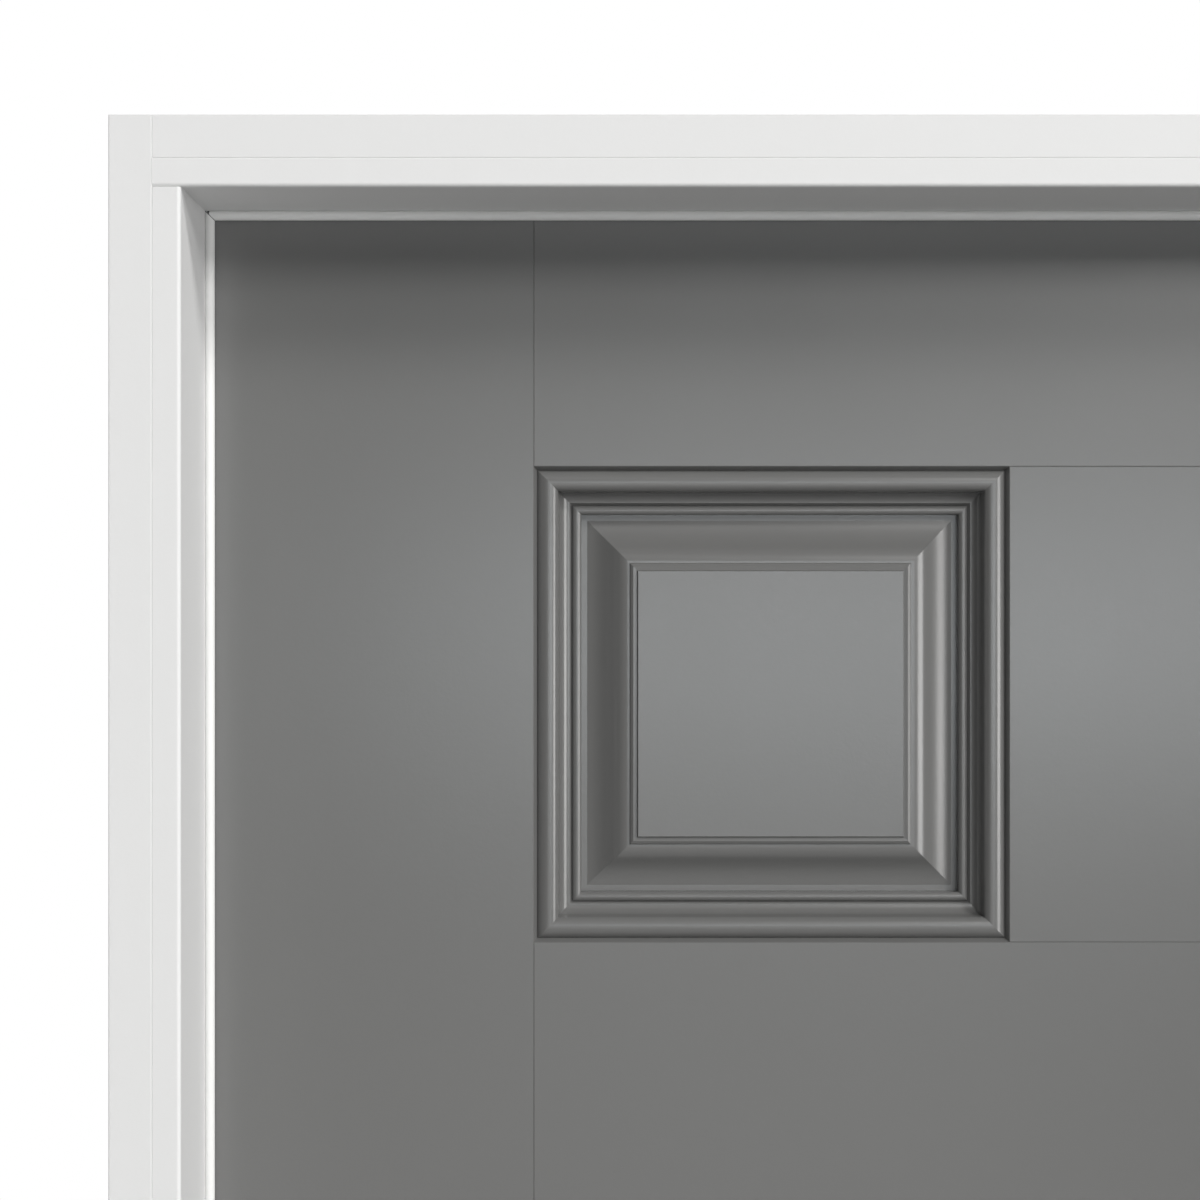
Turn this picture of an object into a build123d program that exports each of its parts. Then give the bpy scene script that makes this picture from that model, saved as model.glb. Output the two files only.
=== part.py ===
from build123d import *
import os

# An inswing front door: a painted stile-and-rail leaf with six raised panels, hung on
# three butt hinges in a white timber frame with a threshold.
# X runs across the opening, to the right as seen from outside. Y runs into the
# building, from 0 on the frame's outside edge. Z is up, from the sill's underside.
# All sizes are millimetres.

# Frame
UNIT_WIDTH = 952.5  # outside of one jamb to outside of the other
UNIT_HEIGHT = 2083.0  # underside of the sill to the top of the head jamb
JAMB_THICKNESS = 19.05
JAMB_DEPTH = 115.9
STOP_THICKNESS = 12.8
STOP_DEPTH = 68.3
STOP_ARRIS = 1.8  # rounding on the stop's corner beside the opening
BOARD_ARRIS = 0.3  # eased edge, which shows as a fine line where two boards meet

# Leaf
LEAF_THICKNESS = 44.45
LEAF_GAP = 5.1  # between the leaf and the jambs and head
LEAF_UNDERCUT = 8.0  # leaf's bottom edge above the threshold cap
LOCK_EDGE_BEVEL = 2.3  # how far the lock edge leans back towards the outside face
STILE_WIDTH = 161.6
MULLION_WIDTH = 134.0
TOP_RAIL_HEIGHT = 127.3
FRIEZE_RAIL_HEIGHT = 134.0
LOCK_RAIL_HEIGHT = 188.0
BOTTOM_RAIL_HEIGHT = 232.0
BOTTOM_PANEL_HEIGHT = 473.0
GROOVE_DEPTH = 9.0  # in the edges of stiles, rails and mullions
TONGUE_LENGTH = 8.5  # panel tongues and stub tenons, in that groove
TONGUE_FIT = 0.1  # clearance on each side of a tongue

# Moulding planted round each opening, on both faces of the leaf.
# A place is measured in from the opening's edge, and a depth from the leaf's face.
QUIRK_PLACE = 1.65
QUIRK_DEPTH = 3.8
ROLL_PLACE = 6.9
ROLL_DEPTH = 0.3
ROLL_FLAT = 0.8  # width of the roll's level top
OGEE_TURN_PLACE = 11.5
OGEE_TURN_DEPTH = 3.4
OGEE_LOW_TURN_PLACE = 12.1
OGEE_LOW_TURN_DEPTH = 7.5
OGEE_END_PLACE = 16.7
OGEE_END_DEPTH = 11.3
BEAD_START_PLACE = 18.0
BEAD_START_DEPTH = 12.9
BEAD_CREST_PLACE = 20.4
BEAD_CREST_DEPTH = 10.3
BEAD_END_DEPTH = 12.3
MOULDING_WIDTH = 22.3

# Raised panel, with places and depths measured as on the moulding
BED_DEPTH = 17.0  # flat margin round the raised part, where the moulding beds
COVE_START_PLACE = 25.0
COVE_START_RISE = 0.14  # slope at which the cove leaves the bed
COVE_END_PLACE = 37.4
COVE_END_DEPTH = 11.0
CROWN_PLACE = 44.2
CROWN_DEPTH = 8.2
CROWN_FLAT = 1.0  # width of the crown's level part
PANEL_STEP_SLANT = 0.4  # lean of the small upright beside the bead
PANEL_BEAD_START_DEPTH = 7.1
PANEL_BEAD_CREST = 1.3  # crest of the bead, in from where the bead starts
PANEL_BEAD_DEPTH = 6.3
PANEL_BEAD_WIDTH = 3.0
PANEL_QUIRK_DEPTH = 6.6  # where the bead ends, at the foot of the field's upright
FIELD_SLANT = 0.6  # lean of the upright that ends at the flat field
FIELD_DEPTH = 5.0

# Threshold
TREAD_THICKNESS = 2.2
TREAD_NOSE = 27.0  # how far the metal tread stands outside the frame
TREAD_HIGH = 31.0  # top of the tread beside the cap
TREAD_LOW = 19.5  # top of the tread at its outside edge
CAP_HEIGHT = 38.0
CAP_WIDTH = 36.0
CAP_SEAT = 24.0  # underside of the cap, in the tread's channel
CAP_ROUNDING = 4.0
CAP_FIT = 0.3

# Hinges
HINGE_HEIGHT = 101.6
HINGE_PLATE = 3.2
HINGE_LET_IN = 38.1  # how far a plate reaches out from the inside face
HINGE_FIT = 0.15  # round a plate in its recess
TOP_HINGE_DROP = 178.0  # leaf's top edge to the top hinge
BOTTOM_HINGE_LIFT = 279.0  # leaf's bottom edge to the bottom hinge
BARREL_RADIUS = 7.0
BARREL_OFFSET = 7.6  # pin's axis beyond the leaf's inside face
PIN_RADIUS = 4.0
PIN_CLEARANCE = 0.05
PIN_HEAD_RADIUS = 6.0
PIN_HEAD_HEIGHT = 2.5
KNUCKLE_COUNT = 3
KNUCKLE_GAP = 0.3

# Lock preparation
LOCKSET_HEIGHT = 914.0  # above the sill's underside
DEADBOLT_SPACING = 139.7
BACKSET = 69.85  # lock edge to the middle of the cross bores
CROSS_BORE_RADIUS = 26.99
EDGE_BORE_RADIUS = 12.7

# Seals
SEAL_SHOW = 4.4  # how far a seal's bulb shows beyond the stop
SEAL_BULB_PLACE = 1.2  # its furthest point behind the stop's back
SEAL_BULB_END = 3.4  # where the bulb meets its flat back
SEAL_CONTACT = 0.4  # left between a seal and what it closes on
SEAL_EDGE = 0.4  # left between a seal and the jamb or head
SEAL_MITRE_GAP = 0.3
KERF_PLACE = 7.4  # middle of the stop's kerf from the jamb's face
KERF_WIDTH = 3.0
KERF_DEPTH = 10.0
KERF_FIT = 0.2
SEAL_LEG = 9.0  # how deep the seal's leg reaches into the kerf
SWEEP_BASE = 3.0
SWEEP_FIN = 1.6
SWEEP_FINS = 3
SWEEP_INSET = 7.0  # from the leaf's faces
SWEEP_END_INSET = 3.5  # from the leaf's edges
PAD_HEIGHT = 52.0
PAD_WIDTH = 12.0
PAD_CONTACT = 0.5

# Positions that follow from the sizes
HALF_UNIT = UNIT_WIDTH / 2
JAMB_FACE = HALF_UNIT - JAMB_THICKNESS
HEAD_FACE = UNIT_HEIGHT - JAMB_THICKNESS
HEAD_STOP_FACE = HEAD_FACE - STOP_THICKNESS
LEAF_HALF = JAMB_FACE - LEAF_GAP
LEAF_BOTTOM = CAP_HEIGHT + LEAF_UNDERCUT
LEAF_TOP = HEAD_FACE - LEAF_GAP
LEAF_INSIDE = JAMB_DEPTH
LEAF_OUTSIDE = LEAF_INSIDE - LEAF_THICKNESS
LEAF_MIDDLE = LEAF_INSIDE - LEAF_THICKNESS / 2
TONGUE_THICKNESS = LEAF_THICKNESS - 2 * BED_DEPTH
GROOVE_WIDTH = TONGUE_THICKNESS + 2 * TONGUE_FIT
STILE_EDGE = LEAF_HALF - STILE_WIDTH
MULLION_EDGE = MULLION_WIDTH / 2
PANEL_WIDTH = STILE_EDGE - MULLION_EDGE
PANEL_CENTRE = (STILE_EDGE + MULLION_EDGE) / 2
BOTTOM_RAIL_TOP = LEAF_BOTTOM + BOTTOM_RAIL_HEIGHT
LOCK_RAIL_BOTTOM = BOTTOM_RAIL_TOP + BOTTOM_PANEL_HEIGHT
LOCK_RAIL_TOP = LOCK_RAIL_BOTTOM + LOCK_RAIL_HEIGHT
TOP_RAIL_BOTTOM = LEAF_TOP - TOP_RAIL_HEIGHT
FRIEZE_RAIL_TOP = TOP_RAIL_BOTTOM - PANEL_WIDTH  # the upper panels are square
FRIEZE_RAIL_BOTTOM = FRIEZE_RAIL_TOP - FRIEZE_RAIL_HEIGHT
PANEL_ROWS = {
    "upper": (FRIEZE_RAIL_TOP, TOP_RAIL_BOTTOM),
    "middle": (LOCK_RAIL_TOP, FRIEZE_RAIL_BOTTOM),
    "lower": (BOTTOM_RAIL_TOP, LOCK_RAIL_BOTTOM),
}
PANEL_SIDES = {"left": -PANEL_CENTRE, "right": PANEL_CENTRE}
HINGE_AXIS_X = -(JAMB_FACE + LEAF_HALF) / 2
HINGE_AXIS_Y = LEAF_INSIDE + BARREL_OFFSET
TOP_HINGE = LEAF_TOP - TOP_HINGE_DROP - HINGE_HEIGHT / 2
BOTTOM_HINGE = LEAF_BOTTOM + BOTTOM_HINGE_LIFT + HINGE_HEIGHT / 2
HINGE_LEVELS = {
    "top": TOP_HINGE,
    "middle": (TOP_HINGE + BOTTOM_HINGE) / 2,
    "bottom": BOTTOM_HINGE,
}
BEAD_FOOT_PLACE = CROWN_PLACE + CROWN_FLAT + PANEL_STEP_SLANT
FIELD_PLACE = BEAD_FOOT_PLACE + PANEL_BEAD_WIDTH + FIELD_SLANT
BORE_X = LEAF_HALF - BACKSET
LOCK_LEVELS = (LOCKSET_HEIGHT, LOCKSET_HEIGHT + DEADBOLT_SPACING)
CAP_FRONT = LEAF_MIDDLE - CAP_WIDTH / 2
CAP_BACK = LEAF_MIDDLE + CAP_WIDTH / 2
CHANNEL_FRONT = CAP_FRONT - CAP_FIT
CHANNEL_BACK = CAP_BACK + CAP_FIT
SEAL_BACK = LEAF_OUTSIDE - SEAL_CONTACT

# The leaf's middle plane, where local x is X and local y is Z
MIDDLE_PLANE = Plane.XZ.offset(-LEAF_MIDDLE)

os.makedirs("parts", exist_ok=True)


def save(built, name):
    """Labels a finished piece and writes it under its own name."""
    built.part.label = name
    export_step(built.part, f"parts/{name}.step")


def tread_level(y):
    """Top of the metal tread at a distance y from the frame's outside edge."""
    share = (y + TREAD_NOSE) / (CHANNEL_FRONT + TREAD_NOSE)
    return TREAD_LOW + (TREAD_HIGH - TREAD_LOW) * share


def flat_area(plane, left, right, bottom, top):
    """A rectangle between two corners of a plane."""
    with BuildSketch(plane) as area:
        with Locations(((left + right) / 2, (bottom + top) / 2)):
            Rectangle(right - left, top - bottom)
    return area.sketch


def ease_faces(board):
    """Takes the sharp edge off the outside and inside faces of a board."""
    chamfer(board.faces().filter_by(Axis.Y).edges(), BOARD_ARRIS)


def let_in_plates(face_x, depth):
    """Cuts a recess for each hinge plate into the board whose edge is at face_x."""
    for level in HINGE_LEVELS.values():
        extrude(plate_outline(face_x, level, HINGE_FIT), amount=depth, mode=Mode.SUBTRACT)


def plate_outline(face_x, level, margin):
    """A square-cornered hinge plate's outline on a board's edge."""
    half = HINGE_HEIGHT / 2 + margin
    front = LEAF_INSIDE - HINGE_LET_IN - margin
    return flat_area(Plane.YZ.offset(face_x), front, LEAF_INSIDE, level - half, level + half)


# Jambs and head
with BuildPart() as hinge_jamb:
    extrude(flat_area(Plane.XZ, -HALF_UNIT, -JAMB_FACE, 0, UNIT_HEIGHT), amount=-JAMB_DEPTH)
    ease_faces(hinge_jamb)
    let_in_plates(-JAMB_FACE, -HINGE_PLATE)
save(hinge_jamb, "hinge_jamb")

with BuildPart() as lock_jamb:
    extrude(flat_area(Plane.XZ, JAMB_FACE, HALF_UNIT, 0, UNIT_HEIGHT), amount=-JAMB_DEPTH)
    ease_faces(lock_jamb)
save(lock_jamb, "lock_jamb")

with BuildPart() as head_jamb:
    extrude(flat_area(Plane.XZ, -JAMB_FACE, JAMB_FACE, HEAD_FACE, UNIT_HEIGHT), amount=-JAMB_DEPTH)
    ease_faces(head_jamb)
save(head_jamb, "head_jamb")

# Stops, with a kerf along the back for the seals
with BuildPart() as hinge_stop:
    with BuildSketch(Plane.YZ.offset(-JAMB_FACE)):
        with BuildLine():
            Polyline(
                (0, tread_level(0)),
                (STOP_DEPTH, tread_level(STOP_DEPTH)),
                (STOP_DEPTH, HEAD_STOP_FACE),
                (0, HEAD_STOP_FACE),
                close=True,
            )
        make_face()
    extrude(amount=STOP_THICKNESS)
    front_edges = hinge_stop.edges().filter_by(Axis.Z).group_by(Axis.Y)[0]
    fillet(front_edges.sort_by(Axis.X)[-1], STOP_ARRIS)
    chamfer(hinge_stop.edges().filter_by(Axis.Z).group_by(Axis.Y)[0].sort_by(Axis.X)[0], BOARD_ARRIS)
    kerf_middle = -JAMB_FACE + KERF_PLACE
    area = flat_area(
        Plane.XY,
        kerf_middle - KERF_WIDTH / 2,
        kerf_middle + KERF_WIDTH / 2,
        STOP_DEPTH - KERF_DEPTH,
        STOP_DEPTH,
    )
    extrude(area, amount=UNIT_HEIGHT, mode=Mode.SUBTRACT)
save(hinge_stop, "hinge_stop")

with BuildPart() as lock_stop:
    mirror(hinge_stop.part, about=Plane.YZ)
save(lock_stop, "lock_stop")

with BuildPart() as head_stop:
    board_end = flat_area(Plane.YZ, 0, STOP_DEPTH, HEAD_STOP_FACE, HEAD_FACE)
    extrude(board_end, amount=JAMB_FACE, both=True)
    fillet(head_stop.edges().filter_by(Axis.X).group_by(Axis.Y)[0].sort_by(Axis.Z)[0], STOP_ARRIS)
    chamfer(head_stop.edges().filter_by(Axis.X).group_by(Axis.Y)[0].sort_by(Axis.Z)[-1], BOARD_ARRIS)
    kerf_middle = HEAD_FACE - KERF_PLACE
    area = flat_area(
        Plane.YZ,
        STOP_DEPTH - KERF_DEPTH,
        STOP_DEPTH,
        kerf_middle - KERF_WIDTH / 2,
        kerf_middle + KERF_WIDTH / 2,
    )
    extrude(area, amount=JAMB_FACE, both=True, mode=Mode.SUBTRACT)
save(head_stop, "head_stop")


def seal_section(plane):
    """A seal's section: local x runs in from the jamb or head, and local y is Y."""
    with BuildSketch(plane) as section:
        with BuildLine():
            Polyline(
                (STOP_THICKNESS, STOP_DEPTH),
                (SEAL_EDGE, STOP_DEPTH),
                (SEAL_EDGE, SEAL_BACK),
                (STOP_THICKNESS + SEAL_BULB_END, SEAL_BACK),
            )
            ThreePointArc(
                (STOP_THICKNESS + SEAL_BULB_END, SEAL_BACK),
                (STOP_THICKNESS + SEAL_SHOW, STOP_DEPTH + SEAL_BULB_PLACE),
                (STOP_THICKNESS, STOP_DEPTH),
            )
        make_face()
    return section.sketch


def seal_leg(plane):
    """The leg that holds a seal in its kerf, on the same plane as its section."""
    leg_half = KERF_WIDTH / 2 - KERF_FIT
    return flat_area(plane, KERF_PLACE - leg_half, KERF_PLACE + leg_half, STOP_DEPTH - SEAL_LEG, STOP_DEPTH)


# Seals, mitred where the side ones meet the head one. The side ones' legs end below
# the head stop.
SEAL_BOTTOM = tread_level(CHANNEL_FRONT) + SEAL_CONTACT
MITRE_CORNER = (-JAMB_FACE, 0, HEAD_FACE)

with BuildPart() as hinge_seal:
    section_place = Plane(origin=(-JAMB_FACE, 0, SEAL_BOTTOM), x_dir=(1, 0, 0), z_dir=(0, 0, 1))
    extrude(seal_section(section_place), amount=HEAD_FACE - SEAL_BOTTOM)
    mitre = Plane(origin=MITRE_CORNER, z_dir=(1, 0, 1)).offset(-SEAL_MITRE_GAP / 2)
    split(bisect_by=mitre, keep=Keep.BOTTOM)
    extrude(seal_leg(section_place), amount=HEAD_STOP_FACE - SEAL_BOTTOM)
save(hinge_seal, "hinge_seal")

with BuildPart() as lock_seal:
    mirror(hinge_seal.part, about=Plane.YZ)
save(lock_seal, "lock_seal")

with BuildPart() as head_seal:
    section_place = Plane(origin=(-JAMB_FACE, 0, HEAD_FACE), x_dir=(0, 0, -1), z_dir=(1, 0, 0))
    extrude(seal_section(section_place), amount=2 * JAMB_FACE)
    extrude(seal_leg(section_place), amount=2 * JAMB_FACE)
    left_mitre = Plane(origin=MITRE_CORNER, z_dir=(1, 0, 1)).offset(SEAL_MITRE_GAP / 2)
    split(bisect_by=left_mitre, keep=Keep.TOP)
    right_corner = (JAMB_FACE, 0, HEAD_FACE)
    right_mitre = Plane(origin=right_corner, z_dir=(-1, 0, 1)).offset(SEAL_MITRE_GAP / 2)
    split(bisect_by=right_mitre, keep=Keep.TOP)
save(head_seal, "head_seal")

# Threshold: a solid sill, a metal tread over it and a cap in the tread's channel
TREAD_BACK_LEG = CHANNEL_FRONT - TREAD_THICKNESS
CHANNEL_FLOOR = CAP_SEAT - TREAD_THICKNESS
TREAD_UNDERSIDE = [
    (-TREAD_NOSE + TREAD_THICKNESS, 0),
    (-TREAD_NOSE + TREAD_THICKNESS, tread_level(-TREAD_NOSE + TREAD_THICKNESS) - TREAD_THICKNESS),
    (TREAD_BACK_LEG, tread_level(TREAD_BACK_LEG) - TREAD_THICKNESS),
    (TREAD_BACK_LEG, CHANNEL_FLOOR),
    (CHANNEL_BACK + TREAD_THICKNESS, CHANNEL_FLOOR),
    (CHANNEL_BACK + TREAD_THICKNESS, TREAD_HIGH - TREAD_THICKNESS),
    (JAMB_DEPTH, TREAD_HIGH - TREAD_THICKNESS),
]

with BuildPart() as sill:
    with BuildSketch(Plane.YZ):
        with BuildLine():
            Polyline(*TREAD_UNDERSIDE, (JAMB_DEPTH, 0), close=True)
        make_face()
    extrude(amount=JAMB_FACE, both=True)
save(sill, "sill")

with BuildPart() as threshold_tread:
    with BuildSketch(Plane.YZ):
        with BuildLine():
            Polyline(
                *TREAD_UNDERSIDE,
                (JAMB_DEPTH, TREAD_HIGH),
                (CHANNEL_BACK, TREAD_HIGH),
                (CHANNEL_BACK, CAP_SEAT),
                (CHANNEL_FRONT, CAP_SEAT),
                (CHANNEL_FRONT, TREAD_HIGH),
                (-TREAD_NOSE, TREAD_LOW),
                (-TREAD_NOSE, 0),
                close=True,
            )
        make_face()
    extrude(amount=JAMB_FACE, both=True)
save(threshold_tread, "threshold_tread")

with BuildPart() as threshold_cap:
    cap_end = flat_area(Plane.YZ, CAP_FRONT, CAP_BACK, CAP_SEAT, CAP_HEIGHT)
    extrude(cap_end, amount=JAMB_FACE, both=True)
    fillet(threshold_cap.edges().filter_by(Axis.X).group_by(Axis.Z)[-1], CAP_ROUNDING)
save(threshold_cap, "threshold_cap")

# Foam pads in the bottom corners, between the leaf's edges and the jambs
with BuildPart() as corner_pads:
    area = flat_area(
        Plane.XY.offset(CAP_HEIGHT + SEAL_CONTACT),
        -JAMB_FACE,
        -LEAF_HALF - PAD_CONTACT,
        LEAF_OUTSIDE,
        LEAF_OUTSIDE + PAD_WIDTH,
    )
    extrude(area, amount=PAD_HEIGHT)
    mirror(about=Plane.YZ)
save(corner_pads, "corner_pads")


def groove(left, right, bottom, top):
    """Cuts a groove, centred in the leaf's thickness, between two corners."""
    area = flat_area(MIDDLE_PLANE, left, right, bottom, top)
    extrude(area, amount=GROOVE_WIDTH / 2, both=True, mode=Mode.SUBTRACT)


def stile_body(board, side, bevel):
    """A stile on side -1 or 1, whose outer edge leans back by bevel at the outside."""
    with BuildSketch(Plane.XY.offset(LEAF_BOTTOM)) as section:
        with BuildLine():
            Polyline(
                (side * STILE_EDGE, LEAF_OUTSIDE),
                (side * (LEAF_HALF - bevel), LEAF_OUTSIDE),
                (side * LEAF_HALF, LEAF_INSIDE),
                (side * STILE_EDGE, LEAF_INSIDE),
                close=True,
            )
        make_face()
    extrude(section.sketch, amount=LEAF_TOP - LEAF_BOTTOM)
    ease_faces(board)
    groove_edges = sorted((side * STILE_EDGE, side * (STILE_EDGE + GROOVE_DEPTH)))
    groove(*groove_edges, LEAF_BOTTOM, LEAF_TOP)


# Stiles
with BuildPart() as hinge_stile:
    stile_body(hinge_stile, -1, 0)
    let_in_plates(-LEAF_HALF, HINGE_PLATE)
save(hinge_stile, "hinge_stile")

with BuildPart() as lock_stile:
    stile_body(lock_stile, 1, LOCK_EDGE_BEVEL)
    with BuildSketch(MIDDLE_PLANE):
        with Locations(*[(BORE_X, level) for level in LOCK_LEVELS]):
            Circle(CROSS_BORE_RADIUS)
    extrude(amount=LEAF_THICKNESS / 2, both=True, mode=Mode.SUBTRACT)
    with BuildSketch(Plane.YZ.offset(BORE_X)):
        with Locations(*[(LEAF_MIDDLE, level) for level in LOCK_LEVELS]):
            Circle(EDGE_BORE_RADIUS)
    extrude(amount=BACKSET, mode=Mode.SUBTRACT)
save(lock_stile, "lock_stile")


def rail(name, bottom, top, grooved_below, grooved_above):
    """A rail between the stiles, with stub tenons in their grooves."""
    tenon_end = STILE_EDGE + TONGUE_LENGTH
    with BuildPart() as board:
        face = flat_area(MIDDLE_PLANE, -STILE_EDGE, STILE_EDGE, bottom, top)
        extrude(face, amount=LEAF_THICKNESS / 2, both=True)
        ease_faces(board)
        tenons = flat_area(MIDDLE_PLANE, -tenon_end, tenon_end, bottom, top)
        extrude(tenons, amount=TONGUE_THICKNESS / 2, both=True)
        if grooved_below:
            groove(-tenon_end, tenon_end, bottom, bottom + GROOVE_DEPTH)
        if grooved_above:
            groove(-tenon_end, tenon_end, top - GROOVE_DEPTH, top)
    save(board, name)


def mullion(name, bottom, top):
    """An upright between two rails, grooved on both edges for the panels."""
    tenon_bottom = bottom - TONGUE_LENGTH
    tenon_top = top + TONGUE_LENGTH
    with BuildPart() as board:
        face = flat_area(MIDDLE_PLANE, -MULLION_EDGE, MULLION_EDGE, bottom, top)
        extrude(face, amount=LEAF_THICKNESS / 2, both=True)
        ease_faces(board)
        tenons = flat_area(MIDDLE_PLANE, -MULLION_EDGE, MULLION_EDGE, tenon_bottom, tenon_top)
        extrude(tenons, amount=TONGUE_THICKNESS / 2, both=True)
        groove(-MULLION_EDGE, -MULLION_EDGE + GROOVE_DEPTH, tenon_bottom, tenon_top)
        groove(MULLION_EDGE - GROOVE_DEPTH, MULLION_EDGE, tenon_bottom, tenon_top)
    save(board, name)


# Rails and mullions
rail("top_rail", TOP_RAIL_BOTTOM, LEAF_TOP, True, False)
rail("frieze_rail", FRIEZE_RAIL_BOTTOM, FRIEZE_RAIL_TOP, True, True)
rail("lock_rail", LOCK_RAIL_BOTTOM, LOCK_RAIL_TOP, True, True)
rail("bottom_rail", LEAF_BOTTOM, BOTTOM_RAIL_TOP, False, True)
for row, (bottom, top) in PANEL_ROWS.items():
    mullion(f"{row}_mullion", bottom, top)


def below_face(place, depth):
    """A point of a section, from its place and its depth below the outside face."""
    return (place, depth - LEAF_THICKNESS / 2)


def moulding_section(plane):
    """The roll, ogee and bead that stand between an opening's edge and its panel."""
    quirk = below_face(QUIRK_PLACE, QUIRK_DEPTH)
    crest = below_face(ROLL_PLACE, ROLL_DEPTH)
    crest_end = below_face(ROLL_PLACE + ROLL_FLAT, ROLL_DEPTH)
    turn = below_face(OGEE_TURN_PLACE, OGEE_TURN_DEPTH)
    low_turn = below_face(OGEE_LOW_TURN_PLACE, OGEE_LOW_TURN_DEPTH)
    ogee_end = below_face(OGEE_END_PLACE, OGEE_END_DEPTH)
    bead_start = below_face(BEAD_START_PLACE, BEAD_START_DEPTH)
    bead_crest = below_face(BEAD_CREST_PLACE, BEAD_CREST_DEPTH)
    bead_end = below_face(MOULDING_WIDTH, BEAD_END_DEPTH)
    with BuildSketch(plane) as area:
        with BuildLine():
            Polyline(
                bead_end,
                below_face(MOULDING_WIDTH, BED_DEPTH),
                below_face(0, BED_DEPTH),
                below_face(0, BOARD_ARRIS),
                quirk,
            )
            TangentArc(crest, quirk, tangent=(-1, 0))
            Line(crest, crest_end)
            TangentArc(crest_end, turn, tangent=(1, 0))
            Line(turn, low_turn)
            TangentArc(ogee_end, low_turn, tangent=(-1, 0))
            Line(ogee_end, bead_start)
            ThreePointArc(bead_start, bead_crest, bead_end)
        make_face()
    return area.sketch


def panel_section(plane):
    """The edge of a panel: tongue, bed, cove, crown and bead, up to its field."""
    bed = below_face(COVE_START_PLACE, BED_DEPTH)
    cove_end = below_face(COVE_END_PLACE, COVE_END_DEPTH)
    step_foot = below_face(CROWN_PLACE + CROWN_FLAT, CROWN_DEPTH)
    bead_start = below_face(BEAD_FOOT_PLACE, PANEL_BEAD_START_DEPTH)
    bead_crest = below_face(BEAD_FOOT_PLACE + PANEL_BEAD_CREST, PANEL_BEAD_DEPTH)
    quirk = below_face(BEAD_FOOT_PLACE + PANEL_BEAD_WIDTH, PANEL_QUIRK_DEPTH)
    with BuildSketch(plane) as area:
        with BuildLine():
            Polyline((-TONGUE_LENGTH, 0), below_face(-TONGUE_LENGTH, BED_DEPTH), bed)
            cove = TangentArc(bed, cove_end, tangent=(1, -COVE_START_RISE))
            crown = TangentArc(cove @ 1, below_face(CROWN_PLACE, CROWN_DEPTH), tangent=cove % 1)
            Polyline(crown @ 1, step_foot, bead_start, bead_crest, quirk)
            Polyline(quirk, below_face(FIELD_PLACE, FIELD_DEPTH), (FIELD_PLACE, 0))
            mirror(about=Plane.XZ)
        make_face()
    return area.sketch


def mitred_lengths(section, centre, bottom, top):
    """Four lengths of a section round an opening, mitred where they meet."""
    left = centre - PANEL_WIDTH / 2
    middle = (bottom + top) / 2
    side = Plane(origin=(left, LEAF_MIDDLE, middle), x_dir=(1, 0, 0), z_dir=(0, 0, 1))
    head = Plane(origin=(centre, LEAF_MIDDLE, top), x_dir=(0, 0, -1), z_dir=(1, 0, 0))
    mitre = Plane(origin=(left, LEAF_MIDDLE, top), z_dir=(1, 0, 1))
    extrude(section(side), amount=top - bottom)
    split(bisect_by=mitre, keep=Keep.BOTTOM)
    head_length = extrude(section(head), amount=-PANEL_WIDTH, mode=Mode.PRIVATE)
    split(head_length, bisect_by=mitre, keep=Keep.TOP, mode=Mode.ADD)
    mirror(about=Plane.YZ.offset(centre))
    mirror(about=Plane.XY.offset(middle))


def moulding(name, centre, bottom, top):
    """The moulding round an opening, on both faces of the leaf."""
    with BuildPart() as ring:
        mitred_lengths(moulding_section, centre, bottom, top)
        mirror(about=MIDDLE_PLANE)
    save(ring, name)


def raised_panel(name, centre, bottom, top):
    """A panel tongued into its opening, with its moulded edge round a flat field."""
    half_field = PANEL_WIDTH / 2 - FIELD_PLACE
    field_bottom = bottom + FIELD_PLACE
    field_top = top - FIELD_PLACE
    with BuildPart() as panel:
        mitred_lengths(panel_section, centre, bottom, top)
        field = flat_area(MIDDLE_PLANE, centre - half_field, centre + half_field, field_bottom, field_top)
        extrude(field, amount=LEAF_THICKNESS / 2 - FIELD_DEPTH, both=True)
    save(panel, name)


# Panels and their mouldings
for row, (bottom, top) in PANEL_ROWS.items():
    for side, centre in PANEL_SIDES.items():
        raised_panel(f"{row}_{side}_panel", centre, bottom, top)
        moulding(f"{row}_{side}_moulding", centre, bottom, top)

# Sweep under the leaf, with fins that reach down to the threshold cap
SWEEP_HALF = LEAF_HALF - SWEEP_END_INSET
SWEEP_FRONT = LEAF_OUTSIDE + SWEEP_INSET
SWEEP_REAR = LEAF_INSIDE - SWEEP_INSET
FIN_SPACING = (SWEEP_REAR - SWEEP_FRONT - SWEEP_FIN) / (SWEEP_FINS - 1)
FIN_BOTTOM = CAP_HEIGHT + SEAL_CONTACT

with BuildPart() as door_sweep:
    base = flat_area(Plane.YZ, SWEEP_FRONT, SWEEP_REAR, LEAF_BOTTOM - SWEEP_BASE, LEAF_BOTTOM)
    extrude(base, amount=SWEEP_HALF, both=True)
    with BuildSketch(Plane.YZ):
        with Locations((LEAF_MIDDLE, (FIN_BOTTOM + LEAF_BOTTOM) / 2)):
            with GridLocations(FIN_SPACING, 1, SWEEP_FINS, 1):
                Rectangle(SWEEP_FIN, LEAF_BOTTOM - FIN_BOTTOM)
    extrude(amount=SWEEP_HALF, both=True)
save(door_sweep, "door_sweep")

KNUCKLE_PITCH = HINGE_HEIGHT / KNUCKLE_COUNT


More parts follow.
